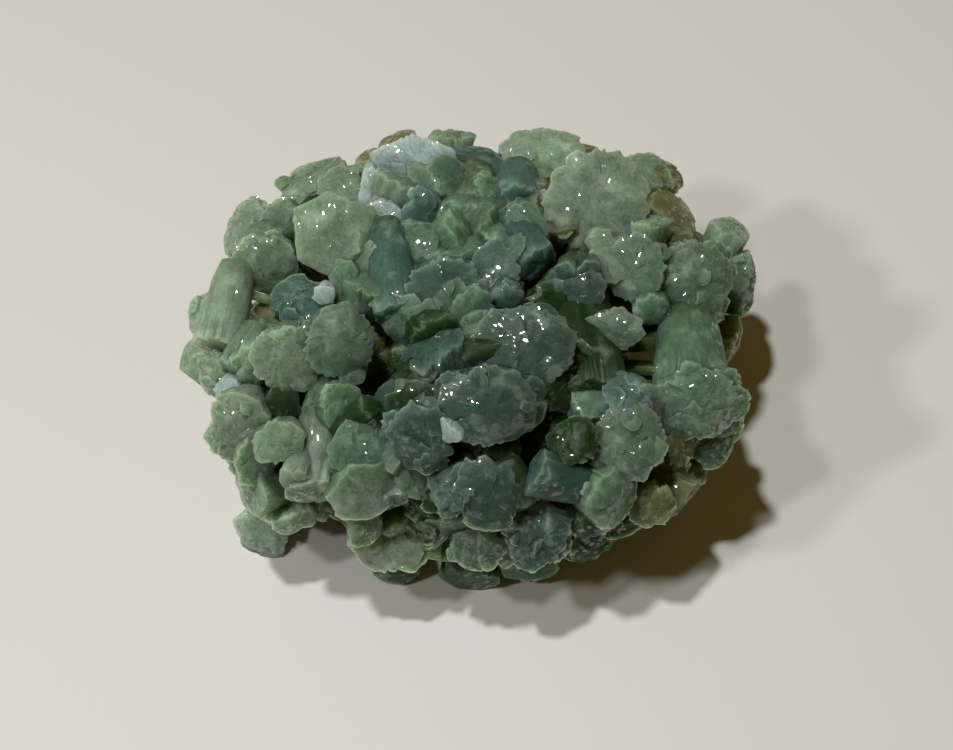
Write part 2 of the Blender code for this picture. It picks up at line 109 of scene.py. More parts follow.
# name, across, up, lift off the body, heading and tilt of the axis in degrees, half width,
# half thickness, length down to the waist, waist share, lobes, form, tone. Lengths are in
# millimetres. Heading 0 leans right and 90 up in the view; tilt 0 points at the viewer and 90 lies
# in the view.
SHEAVES = (
    ("crest_brown", -13.4, 44.2, -8, 100, 70, 3.9, 3.5, 14, 0.7, 5, "dome", "honey"),
    ("crest_brown_low", -18.8, 41.0, -7, 115, 70, 3.4, 3.0, 12, 0.7, 5, "dome", "honey"),
    ("frost_plate", -9.4, 38.4, 3, -95, 10, 8.4, 5.6, 12, 0.7, 9, "block", "frost"),
    ("frost_ledge", -16.8, 28.8, 2.5, -95, 15, 4.0, 2.4, 8, 0.8, 6, "block", "frost"),
    ("crest_teal", -2.6, 44.8, -4, 90, 65, 4.4, 3.4, 12, 0.7, 5, "rough", "sage"),
    ("crest_dome", 1.6, 38.0, -3, 90, 35, 6.6, 6.0, 14, 0.6, 7, "dome", "slate"),
    ("crest_rough", 15.0, 42.0, 0, 90, 35, 8.4, 5.6, 14, 0.6, 9, "rough", "pale"),
    ("crest_pink", 24.0, 42.0, -6, 80, 60, 3.2, 2.8, 12, 0.7, 5, "dome", "honey"),
    ("shell_big", 26.2, 32.0, 4, -90, 5, 10.2, 9.6, 15, 0.5, 13, "shell", "sage"),
    ("shell_tip", 27.2, 23.4, 2, -90, 15, 2.6, 2.6, 8, 0.8, 4, "block", "sage"),
    ("shell_crest", 35.4, 38.0, -1, 85, 40, 6.2, 5.0, 14, 0.6, 8, "shell", "sage"),
    ("crest_lumps", 40.4, 37.2, -3, 50, 60, 3.8, 3.4, 12, 0.7, 6, "rough", "olive"),
    ("honey_dome", 42.0, 29.4, -4, 30, 45, 5.8, 5.4, 14, 0.6, 6, "shell", "honey"),
    ("olive_ledge", 47.0, 24.0, -6, 60, 60, 4.0, 3.0, 12, 0.7, 5, "block", "olive"),
    ("horn_block", 53.6, 27.0, 0, 62, 80, 4.0, 3.2, 20, 0.7, 4, "block", "sage"),
    ("shoulder_rough", 46.0, 15.6, 4, -90, 5, 7.4, 7.0, 14, 0.6, 9, "rough", "moss"),
    ("cheek", 33.8, 18.2, 3, 180, 15, 6.6, 5.6, 14, 0.55, 10, "shell", "moss"),
    ("cheek_plates", 37.4, 9.8, 0, -90, 30, 3.6, 2.8, 8, 0.8, 5, "fan", "moss"),
    ("right_column", 45.4, -6.0, -1, -90, 60, 8.0, 5.4, 17, 0.62, 8, "rough", "moss"),
    ("right_knob", 56.4, 15.6, -4, 0, 70, 6.2, 4.6, 14, 0.6, 7, "rough", "moss"),
    ("right_plate", 54.6, 3.6, -8, -10, 75, 5.8, 3.4, 12, 0.7, 5, "block", "honey"),
    ("rough_cushion", 46.4, -9.2, 3, -90, 20, 10.0, 7.2, 14, 0.55, 11, "rough", "moss"),
    ("cushion_under", 49.0, -16.0, -3, -70, 55, 7.4, 4.0, 12, 0.6, 8, "fan", "moss"),
    ("comb_fan", 32.0, -6.0, 3, 110, 40, 4.2, 4.2, 12, 0.5, 8, "comb", "slate"),
    ("lower_cheek", 33.0, -16.4, 3, -90, 10, 5.8, 7.2, 14, 0.6, 9, "dome", "moss"),
    ("pale_chip", 37.4, -18.0, 5, -90, 10, 2.2, 3.0, 7, 0.9, 4, "block", "moss"),
    ("pale_chip_upper", 36.6, -13.8, 5, -80, 20, 2.4, 1.8, 7, 0.9, 4, "block", "moss"),
    ("hex_chip", 23.0, -10.6, -1, -90, 0, 2.3, 2.1, 7, 0.9, 5, "block", "slate"),
    ("small_chip", 23.2, 1.6, 2, -70, 5, 1.8, 2.1, 6, 0.9, 4, "block", "moss"),
    ("dark_column", 25.4, -6.8, -3, -82, 58, 6.8, 5.0, 27, 0.8, 7, "shell", "deep"),
    ("column_top", 22.2, 13.6, 1, -110, 30, 5.2, 5.0, 12, 0.6, 7, "rough", "teal"),
    ("deep_head", 20.2, -5.4, -2, -60, 15, 6.2, 6.8, 14, 0.6, 8, "dome", "deep"),
    ("finger_mid", -13.4, 9.2, 0, -80, 60, 4.6, 3.8, 21, 0.62, 6, "shell", "slate"),
    ("teal_block", -8.2, 28.6, 1, -92, 15, 3.9, 4.5, 12, 0.95, 4, "block", "slate"),
    ("teal_block_tip", -7.8, 23.6, -3, -90, 20, 2.4, 2.2, 8, 0.9, 4, "block", "slate"),
    ("sage_slab", 0.6, 30.0, -4, -100, 40, 5.4, 4.6, 14, 0.6, 7, "fan", "moss"),
    ("sage_flank", 1.6, 24.6, -5, -120, 55, 4.6, 4.0, 14, 0.7, 6, "fan", "moss"),
    ("teal_column", 10.6, 31.6, -2, -90, 45, 4.6, 4.4, 10, 0.75, 6, "shell", "slate"),
    ("tilted_block", 14.6, 19.2, 0, -62, 50, 4.0, 3.6, 14, 0.9, 4, "block", "slate"),
    ("glint_face", 6.0, 18.0, 3, 100, 16, 4.3, 6.4, 14, 0.8, 5, "shell", "slate"),
    ("centre_fan", -3.8, 14.0, 4, -70, 15, 7.2, 5.8, 14, 0.5, 9, "shell", "slate"),
    ("centre_fan_lobe", 1.6, 10.6, 3, -80, 20, 3.6, 3.6, 10, 0.7, 5, "fan", "moss"),
    ("under_glint", 8.6, 12.0, 2, -80, 25, 3.4, 3.4, 10, 0.7, 5, "dome", "teal"),
    ("left_plate", -11.8, 7.2, 0, -120, 30, 6.4, 4.6, 12, 0.6, 6, "block", "moss"),
    ("frost_hollow", -7.2, 2.4, 3, 110, 60, 6.4, 4.2, 16, 0.45, 7, "fan", "teal"),
    ("centre_dome", 12.0, 2.6, 6, -90, 5, 9.0, 7.2, 15, 0.5, 11, "dome", "teal"),
    ("dark_gloss", 4.6, -9.4, 7, -90, 15, 8.8, 6.6, 15, 0.5, 11, "rough", "teal"),
    ("frosted_fan", -8.8, -15.8, 6, -100, 15, 5.6, 6.0, 13, 0.55, 9, "fan", "teal"),
    ("pale_wedge", -4.2, -14.2, 8, -120, 35, 3.4, 1.6, 8, 0.9, 3, "block", "frost"),
    ("teal_plate", -13.8, -9.0, 1, 180, 20, 5.2, 5.6, 12, 0.7, 6, "block", "teal"),
    ("dark_knob", -13.0, -0.4, -3, -120, 30, 2.8, 3.2, 10, 0.8, 5, "dome", "deep"),
    ("shadow_knob", 15.6, -16.4, -4, 180, 50, 3.6, 4.5, 12, 0.7, 6, "fan", "deep"),
    ("olive_finger", 18.6, 23.6, -6, -70, 60, 4.4, 3.6, 14, 0.8, 5, "block", "olive"),
    ("olive_finger_low", 23.6, 21.6, -8, -100, 50, 3.2, 3.0, 12, 0.8, 5, "fan", "olive"),
    ("brow", -30.4, 35.8, -1, 110, 40, 7.6, 4.6, 13, 0.6, 9, "rough", "sage"),
    ("brow_smooth", -24.8, 34.0, 1, 90, 25, 4.4, 5.2, 13, 0.7, 6, "dome", "sage"),
    ("frost_strip", -19.0, 33.4, 2, -88, 15, 2.0, 5.0, 9, 0.9, 4, "block", "frost"),
    ("pale_shield", -26.6, 25.2, 5, -75, 10, 7.0, 7.2, 14, 0.55, 8, "block", "sage"),
    ("corner_knob", -44.8, 26.6, -1, 150, 50, 5.8, 4.4, 14, 0.6, 7, "rough", "pale"),
    ("stripe_finger", -40.2, 19.2, 1, -90, 25, 6.4, 5.2, 14, 0.7, 8, "dome", "sage"),
    ("dark_flank", -32.5, 22.0, -3, -110, 50, 4.6, 4.0, 14, 0.7, 6, "block", "deep"),
    ("pale_finger", -49.6, 2.8, 0, -102, 72, 4.7, 4.0, 17, 0.65, 7, "shell", "pale"),
    ("side_knob", -53.8, 9.2, -4, 175, 60, 4.6, 3.2, 12, 0.7, 6, "rough", "pale"),
    ("west_tip", -55.4, 1.6, -4, 140, 80, 3.4, 3.0, 16, 0.85, 4, "block", "pale"),
    ("west_cheek", -50.4, -3.4, -1, -150, 40, 4.4, 3.6, 10, 0.7, 6, "rough", "sage"),
    ("honey_inside", -40.0, 10.2, -8, 90, 35, 2.2, 3.2, 10, 0.8, 4, "block", "honey"),
    ("green_diagonal", -45.6, -2.4, -1, -110, 60, 3.6, 3.4, 10, 0.8, 5, "fan", "sage"),
    ("green_diagonal_low", -42.2, -1.4, 1, -90, 30, 3.0, 4.6, 10, 0.8, 5, "rough", "sage"),
    ("frost_chip", -47.2, -7.0, 2, -90, 15, 2.4, 3.0, 7, 0.9, 5, "block", "frost"),
    ("left_cheek", -35.8, 0.4, 4, -90, 15, 6.2, 5.8, 14, 0.55, 9, "shell", "sage"),
    ("palm", -25.0, 4.0, 5, 0, 15, 7.2, 6.0, 14, 0.5, 10, "fan", "moss"),
    ("teal_rough_left", -33.4, 12.0, 1, 120, 20, 4.8, 5.4, 13, 0.6, 8, "rough", "slate"),
    ("palm_wrist", -23.8, 14.2, 0, -90, 20, 3.2, 4.8, 12, 0.7, 6, "rough", "moss"),
    ("pale_facet", -28.2, 13.0, 3, -90, 10, 2.0, 1.9, 7, 0.9, 4, "block", "frost"),
    ("long_finger", -30.6, -26.6, 2, -98, 72, 4.7, 4.0, 24, 0.72, 7, "fan", "sage"),
    ("finger_shoulder", -24.4, -9.4, 2, -10, 25, 4.4, 3.8, 12, 0.7, 6, "fan", "moss"),
    ("dark_recess", -36.8, -11.4, -4, -90, 25, 3.6, 6.4, 12, 0.8, 6, "dome", "deep"),
    ("ledge_fan", -45.0, -14.0, 1, -105, 25, 5.4, 7.0, 14, 0.6, 8, "comb", "sage"),
    ("left_block", -43.0, -25.8, -1, 190, 35, 5.0, 4.6, 13, 0.7, 5, "block", "sage"),
    ("foot_left", -40.8, -35.6, -13, -110, 30, 4.8, 5.4, 13, 0.6, 8, "fan", "pale"),
    ("foot_lump", -33.6, -32.4, -6, -70, 45, 5.0, 4.0, 12, 0.6, 7, "fan", "pale"),
    ("knuckle", -21.6, -18.0, 3, -90, 5, 5.0, 5.2, 13, 0.6, 8, "fan", "moss"),
    ("wedge", -20.2, -26.8, 4, -45, 30, 5.6, 5.4, 14, 0.6, 5, "block", "moss"),
    ("back_plate", -15.2, -23.6, 1, -20, 30, 4.6, 4.2, 12, 0.7, 7, "comb", "moss"),
    ("bright_crumb", -15.4, -17.4, -1, -60, 20, 1.2, 1.2, 6, 0.9, 3, "block", "frost"),
    ("belly_left", -15.6, -37.4, 1, -90, 15, 6.4, 5.0, 13, 0.6, 9, "fan", "sage"),
    ("belly_under", -13.8, -43.0, -9, -90, 45, 4.8, 2.6, 10, 0.7, 6, "fan", "teal"),
    ("striped_flank", -8.6, -34.4, 0, -120, 50, 3.2, 3.0, 12, 0.7, 5, "comb", "deep"),
    ("twin_left", -2.4, -25.0, 4, 120, 15, 4.6, 4.4, 13, 0.6, 7, "fan", "teal"),
    ("twin_right", 4.6, -27.4, 5, -60, 15, 5.4, 6.4, 14, 0.55, 8, "fan", "teal"),
    ("nose_block", 2.2, -37.6, 4, -90, 20, 4.8, 4.4, 13, 0.7, 6, "rough", "moss"),
    ("chin", 1.2, -44.0, -9, -90, 50, 5.4, 4.4, 12, 0.6, 7, "fan", "moss"),
    ("oval", 14.4, -34.6, 4, -60, 10, 5.6, 6.4, 14, 0.5, 11, "rough", "teal"),
    ("under_oval", 13.0, -41.8, -6, -90, 45, 5.4, 3.2, 10, 0.7, 7, "fan", "moss"),
    ("dark_twin", 23.0, -31.0, -2, -70, 25, 4.2, 3.4, 11, 0.7, 6, "fan", "deep"),
    ("bow_right", 29.6, -27.4, 4, -30, 42, 5.8, 4.6, 15, 0.45, 6, "dome", "moss"),
    ("bow_left", 13.6, -22.4, 1, 165, 70, 4.4, 3.8, 14, 0.6, 7, "fan", "teal"),
    ("right_under_plate", 36.2, -31.4, -5, -60, 50, 4.4, 3.0, 12, 0.7, 5, "block", "deep"),
    ("bow_under", 29.0, -34.4, -6, -90, 60, 4.0, 2.4, 10, 0.7, 5, "fan", "deep"),
    ("olive_plates", 40.0, -22.8, -4, -60, 40, 5.2, 3.8, 12, 0.6, 7, "fan", "olive"),
    ("deep_chip", 24.6, -35.8, -8, -90, 60, 3.0, 2.2, 10, 0.7, 5, "fan", "deep"),
    ("dark_pocket", -8.4, -29.4, -3, -60, 20, 3.6, 3.0, 10, 0.7, 6, "dome", "deep"),
    ("pocket_ribs", 12.2, -27.4, -3, -40, 30, 3.2, 3.0, 10, 0.7, 6, "comb", "deep"),
)

# The heads behind and below, on an even spiral round the body, and the places left bare there
BACK_POINTS = 96
BACK_FACING = -0.12
BACK_BARE = (55, 59, 60, 63, 65)
BACK_HALF = (6.2, 8.6)
BACK_LENGTH = 12.0
BACK_LIFT = (-3.0, 0.0)
BACK_LEAN = 0.3
BACK_WAIST = 0.6
BACK_LOBES = (6, 10)
BACK_SEED = 1000
GOLDEN_ANGLE = math.pi * (3 - math.sqrt(5))
BACK_FORMS = ("fan", "rough", "dome", "block", "comb")
BACK_TONES = ("sage", "moss", "pale", "slate", "sage")

# Small young bundles that fill the clefts, and what they leave open, each as across, up and half
# width in millimetres: holes that are seen through, and dark clefts
BUDS = 460
BUD_LEVEL = (0.74, 0.88)
BUD_RISE = 0.19
BUD_HALF = (3.2, 6.2)
BUD_LENGTH = 9.0
BUD_LEAN = 0.35
BUD_WAIST = 0.6
BUD_LOBES = 5
BUD_SEED = 5000
# A bud's tone comes from its nearest head's tone, mostly a darker one: painted shade under the heads
BUD_TONES = {"frost": "sage", "pale": "sage", "slate": "moss", "teal": "deep", "honey": "olive"}
HOLES = ((34.4, 0.8, 2.4), (-43.0, 10.6, 0.6), (-28.5, -38.0, 3.5))
CLEFTS = ((-17.6, 5.0, 2.5), (-17.6, -1.0, 2.5), (11.8, 13.6, 1.5), (31.8, 11.6, 2.0), (12.6, -17.0, 0.5))

# Chips that split off the rim of a head with at least this half width, and knobs on it: one for so
# much of its size, a chip's size as a share of the head's, and a knob's half width and length
LEAST_SPLIT = 3.2 * MM
SPLIT_SPACING = 3 * MM
CHIP_SHARE = (0.34, 0.56)
KNOB_HALF = (0.9, 2.2)
KNOB_LENGTH = 4.0

# Rings of points down a sheaf: shares of the crown's radius, then heights on the flank
CROWN_RINGS = np.array((0.13, 0.28, 0.44, 0.60, 0.74, 0.86, 0.95, 1.0))
FLANK_RINGS = np.array((0.95, 0.86, 0.73, 0.58, 0.40, 0.21, 0.0))
SMALL_CROWN = np.array((0.4, 0.75, 1.0))
SMALL_FLANK = np.array((0.92, 0.66, 0.33, 0.0))
SMALL_HEAD = 2.6 * MM
POINT_SPACING = 0.85 * MM

# How fast a flank widens from its waist, how near to an oval it is there, and how high and how wide
# the waves on a crown, the folds on a flank and its fine ribs are
FLARE = 0.6
ROUNDNESS = 0.96
CROWN_WAVE = 0.10 * MM
CROWN_WAVE_SIZE = 4.5 * MM
FOLD = 0.22 * MM
FOLD_SIZE = 5.0 * MM
RIB = 0.07 * MM
RIB_SIZE = 1.8 * MM

# The stem from a head's waist to the core: where it ends on the way to the middle, its half width
# at both ends as a share of the waist's, how far its closing points lie beyond, and its corners
STEM_SHARE = 0.42
STEM_TOP = 0.9
STEM_FOOT = 0.7
STEM_POINT = 0.2
STEM_RINGS = 5
STEM_CORNERS = 8

# The core's rough skin, the block that cuts the flat underside, and the most triangles kept
CORE_ROUGH = 0.04
CORE_WAVE = 0.2
CORE_SEED = 7
CUTTER_SIDE = 300 * MM
CUTTER_DEPTH = 60 * MM
MOST_TRIANGLES = 196000

# How much fuller the heads are than the solid's, so that neighbours melt into each other
FULLER = 1.14

# How unevenly the glassy facets lie on the flanks and what share of them they are, and how unevenly
# they lie on the heads that glint most, which are glassy all over
FLANK_FILM = np.array((0.40, 0.15))
GLINTING = {
    "glint_face": 0.22,
    "centre_fan": 0.55,
    "centre_dome": 0.35,
    "dark_gloss": 0.28,
    "crest_rough": 0.35,
    "column_top": 0.30,
    "comb_fan": 0.25,
    "stripe_finger": 0.40,
    "wedge": 0.40,
    "belly_left": 0.40,
}
GLINT_SHARE = 1.0

# How much of its edge tone a rim takes on, painted light shining through the thin edge, and how
# much lighter or darker each bundle may be
RIM_SHARE = 0.38
TONE_RANGE = (0.90, 1.10)
TONE_DRIFT = 0.02

# The body level under which a cleft starts to darken with painted shade, how much lower it is as
# dark as it gets, and the least angle between two facets that shows as an edge
CLEFT_LEVEL = 0.92
CLEFT_DEPTH = 0.26
SHARP_ANGLE = math.radians(24)


def seeded(name):
    return np.random.default_rng(zlib.crc32(name.encode()))


def body_level(points):
    """1 on the rounded box that the heads stand on, less inside it and more outside it."""
    return (np.abs((points - BODY_MIDDLE) / BODY_HALF) ** BODY_SQUARENESS).sum(-1)


def seen_point(across, up, toward):
    """The points seen at (across, up) in the view, at depths towards the viewer."""
    nearer = (EYE_DISTANCE - toward) / EYE_DISTANCE
    flat = np.multiply.outer(EYE_ACROSS + (across - EYE_ACROSS) * nearer, RIGHT)
    flat = flat + np.multiply.outer(EYE_UP + (up - EYE_UP) * nearer, UP)
    return flat + np.multiply.outer(toward, TOWARD) + BODY_MIDDLE


def seen_at(point):
    """Where in the view a point shows, across and up."""
    local = point - BODY_MIDDLE
    nearer = (EYE_DISTANCE - local @ TOWARD) / EYE_DISTANCE
    return EYE_ACROSS + (local @ RIGHT - EYE_ACROSS) / nearer, EYE_UP + (local @ UP - EYE_UP) / nearer


def body_depth(across, up):
    """How far towards the viewer the body's front lies, or its nearest point past the outline."""
    depths = np.arange(DEPTH_STEPS, -DEPTH_STEPS, -1) * DEPTH_STEP * MM
    levels = body_level(seen_point(across, up, depths))
    inside = np.flatnonzero(levels <= 1)
    return depths[inside[0]] if len(inside) else depths[levels.argmin()]


def laid_out(row):
    """A row of the layout as a head's place, its axis and side direction, and its sizes."""
    name, across, up, lift, heading, tilt, wide, thick, length, waist, lobes, form, tone = row
    depth = body_depth(across * MM, up * MM) + lift * MM
    place = seen_point(across * MM, up * MM, depth)
    turn, lean = math.radians(heading), math.radians(tilt)
    flat = RIGHT * math.cos(turn) + UP * math.sin(turn)
    axis = TOWARD * math.cos(lean) + flat * math.sin(lean)
    side = UP * math.cos(turn) - RIGHT * math.sin(turn)
    return name, place, axis, side, wide * MM, thick * MM, length * MM, waist, lobes, form, tone


def unit(vector):
    return vector / np.linalg.norm(vector)


def on_body(way):
    """The point of the body in a direction from its middle, and the direction out of it there."""
    reach = (np.abs(way / BODY_HALF) ** BODY_SQUARENESS).sum()
    spot = way * reach ** (-1 / BODY_SQUARENESS)
    slope = np.sign(spot) * np.abs(spot / BODY_HALF) ** (BODY_SQUARENESS - 1) / BODY_HALF
    return spot, unit(slope)


def spiral(i, count):
    """Direction i of an even spiral of directions."""
    height = 1 - (2 * i + 1) / count
    ring = math.sqrt(1 - height * height)
    return np.array((ring * math.cos(GOLDEN_ANGLE * i), ring * math.sin(GOLDEN_ANGLE * i), height))


def spread_behind():
    """Heads on the sides that the layout doesn't reach, by an even spiral over the body."""
    for i in range(BACK_POINTS):
        rng = np.random.default_rng(BACK_SEED + i)
        spot, out = on_body(spiral(i, BACK_POINTS))
        wide, thick = rng.uniform(*BACK_HALF, 2) * MM
        lift = rng.uniform(*BACK_LIFT) * MM
        lean = rng.uniform(-BACK_LEAN, BACK_LEAN, 3)
        side = rng.normal(0, 1, 3)
        lobes = int(rng.integers(*BACK_LOBES))
        form = BACK_FORMS[int(rng.integers(len(BACK_FORMS)))]
        if i in BACK_BARE or out @ TOWARD > BACK_FACING:
            continue
        axis = unit(out + lean)
        side = unit(np.cross(axis, side))
        place = spot + out * lift + BODY_MIDDLE
        tone = BACK_TONES[int(rng.integers(len(BACK_TONES)))]
        sizes = wide, thick, BACK_LENGTH * MM, BACK_WAIST
        yield f"back_{i}", place, axis, side, *sizes, lobes, form, tone


def stands_in(gaps, place, half):
    """Whether a bundle or its stem, of a half width, stands in the line of sight through a gap."""
    for share in (1.0, 0.8, 0.6, STEM_SHARE):
        across, up = seen_at(BODY_MIDDLE + (place - BODY_MIDDLE) * share)
        for x, y, width in gaps:
            if math.hypot(across - x * MM, up - y * MM) < width * MM + half * share:
                return True
    return False


def fuller(head):
    """A head grown wider, unless it would close a gap that is seen through."""
    name, place, axis, side, wide, thick, *rest = head
    share = 1.0 if stands_in(HOLES, place, max(wide, thick) * FULLER) else FULLER
    return name, place, axis, side, wide * share, thick * share, *rest


def young_bundles(heads):
    """Small bundles between the stems, at random depths under the heads, toned as the nearest head, mostly
    darker: painted shade.
    """
    places = np.array([head[1] for head in heads])
    for i in range(BUDS):
        rng = np.random.default_rng(BUD_SEED + i)
        spot, out = on_body(spiral(i, BUDS))
        facing = out @ TOWARD
        rise = BUD_RISE * min(1, max(0, 1.6 * facing))
        place = spot * (rng.uniform(*BUD_LEVEL) + rise) + BODY_MIDDLE
        axis = unit(out + rng.normal(0, BUD_LEAN, 3))
        side = unit(np.cross(axis, rng.normal(0, 1, 3)))
        wide, thick = rng.uniform(*BUD_HALF, 2) * MM
        if stands_in(HOLES, place, wide) or (facing > 0 and stands_in(CLEFTS, place, wide)):
            continue
        over = heads[int(((places - place) ** 2).sum(1).argmin())][-1]
        tone = BUD_TONES.get(over, over)
        sizes = wide, thick, BUD_LENGTH * MM, BUD_WAIST
        yield f"bud_{i}", place, axis, side, *sizes, BUD_LOBES, "fan", tone


def chips_round(row):
    """Smaller bundles that split off a big head near its rim, and knobs that sit on a rough one."""
    name, place, axis, side, wide, thick, length, waist, lobes, form, tone = row
    small = min(wide, thick)
    if small < LEAST_SPLIT:
        return
    rng = seeded(name + "_chips")
    other = np.cross(axis, side)
    chips, knobs = (round(number * small / SPLIT_SPACING) for number in FORMS[form][12:14])
    for i in range(chips):
        angle = math.tau * (i + rng.uniform(0.1, 0.9)) / chips
        flat = side * math.cos(angle) * wide + other * math.sin(angle) * thick
        new_axis = unit(axis + unit(flat) * rng.uniform(0.1, 0.5))
        new_side = unit(np.cross(new_axis, rng.normal(0, 1, 3)))
        share = rng.uniform(*CHIP_SHARE)
        spot = place + flat * (0.98 - 0.6 * share) - axis * rng.uniform(-0.2, 1.8) * MM
        sizes = small * share * rng.uniform(0.9, 1.5), small * share, length * 0.7, 0.7
        kind = ("fan", "block", form)[int(rng.integers(3))]
        yield f"{name}_chip_{i}", spot, new_axis, new_side, *sizes, int(rng.integers(4, 7)), kind, tone
    for i in range(knobs):
        angle = rng.uniform(0, math.tau)
        far = math.sqrt(rng.uniform(0, 0.8))
        flat = (side * math.cos(angle) * wide + other * math.sin(angle) * thick) * far
        rise = FORMS[form][4] * small * (1 - far**2)
        new_axis = unit(axis + unit(flat) * 0.3 * far + rng.normal(0, 0.20, 3))
        new_side = unit(np.cross(new_axis, rng.normal(0, 1, 3)))
        half = rng.uniform(*KNOB_HALF) * MM
        spot = place + flat + axis * (rise + rng.uniform(-0.1, 0.4) * MM)
        sizes = half * rng.uniform(0.9, 1.5), half, KNOB_LENGTH * MM, 0.8
        yield f"{name}_knob_{i}", spot, new_axis, new_side, *sizes, int(rng.integers(4, 6)), "block", tone


def waves(x, y, size, rng):
    """A smooth uneven surface between about -1 and 1: a sum of six waves of about that size."""
    total = 0 * (x + y)
    for turn, phase, stretch in rng.uniform((0, 0, 0.6), (math.tau, math.tau, 1.8), (6, 3)):
        total += np.sin((x * math.cos(turn) + y * math.sin(turn)) * math.tau * stretch / size + phase)
    return total / 3


def broken(x, y, reach, size, step, slope, rng):
    """Broken facets: every point lies on the plane of its nearest site, each plane stepped and tilted."""
    count = max(4, round((2 * reach / size) ** 2))
    sites = rng.uniform(-reach, reach, (count, 2))
    far = (x[..., None] - sites[:, 0]) ** 2 + (y[..., None] - sites[:, 1]) ** 2
    near = far.argmin(-1)
    tilt = rng.normal(0, slope, (count, 2))
    steps = rng.normal(0, step, count)
    return steps[near] + (x - sites[near, 0]) * tilt[near, 0] + (y - sites[near, 1]) * tilt[near, 1]


def skin(rings):
    """Triangles of a closed skin: a first point, rings of points one behind the other, a last point."""
    count, corners = rings
    i = np.arange(corners)
    j = (i + 1) % corners
    last = 1 + count * corners
    first_cap = np.stack((np.zeros_like(i), 1 + i, 1 + j), 1)
    above = 1 + np.arange(count - 1)[:, None] * corners
    a, b = above + i, above + j
    c, d = a + corners, b + corners
    walls = np.concatenate((np.stack((a, c, d), -1), np.stack((a, d, b), -1))).reshape(-1, 3)
    end = last - corners
    last_cap = np.stack((np.full_like(i, last), end + j, end + i), 1)
    return np.concatenate((first_cap, walls, last_cap))


def as_mesh(name, points, triangles, tone, rim, fibre, film):
    """A Blender mesh in the row's frame, with what the material reads at each point."""
    mesh = bpy.data.meshes.new(name)
    mesh.vertices.add(len(points))
    mesh.vertices.foreach_set("co", (points + ORIGIN_SHIFT).astype(np.float32).ravel())
    mesh.loops.add(triangles.size)
    mesh.loops.foreach_set("vertex_index", triangles.astype(np.int32).ravel())
    mesh.polygons.add(len(triangles))
    mesh.polygons.foreach_set("loop_start", np.arange(0, triangles.size, 3, dtype=np.int32))
    mesh.update(calc_edges=True)
    for key, kind, field, values in (
        ("tone", "FLOAT_COLOR", "color", np.concatenate((tone, np.ones((len(tone), 1))), 1)),
        ("rim", "FLOAT", "value", rim),
        ("fibre", "FLOAT_VECTOR", "vector", fibre),
        ("film", "FLOAT2", "vector", film),
    ):
        layer = mesh.attributes.new(key, kind, "CORNER")
        layer.data.foreach_set(field, values[triangles.ravel()].astype(np.float32).ravel())
    return mesh


def toned(tone, grown, rim, rng):
    """Colours from the root's through the body's to the rim's, each bundle a little lighter or darker: the
    darker root is painted shade, the paler rim painted light.
    """
    root, body, edge = (np.array(colour) for colour in TONES[tone])
    share = np.clip(grown, 0, 1)[:, None]
    # Painted shade: darker towards the root, down among the stems
    colour = root + (body - root) * share
    # Painted light: the rim pales towards its edge tone, as light shines through the thin edge
    colour = colour + (edge - colour) * (RIM_SHARE * np.clip(rim, 0, 1)[:, None])
    return colour * rng.uniform(*TONE_RANGE) * (1 + rng.normal(0, TONE_DRIFT, 3))


def flat_sided(angles, wide, thick, sides, rng):
    """R(a), the nearest of straight sides that each touch an oval: support / cos(a - its direction)."""
    way = (np.arange(sides) + rng.uniform(-0.3, 0.3, sides) + rng.uniform()) * math.tau / sides
    support = np.sqrt((wide * np.cos(way)) ** 2 + (thick * np.sin(way)) ** 2)
    support = support * rng.uniform(0.86, 1.0, sides)
    return (support / np.maximum(np.cos(angles[:, None] - way), 0.2)).min(1)


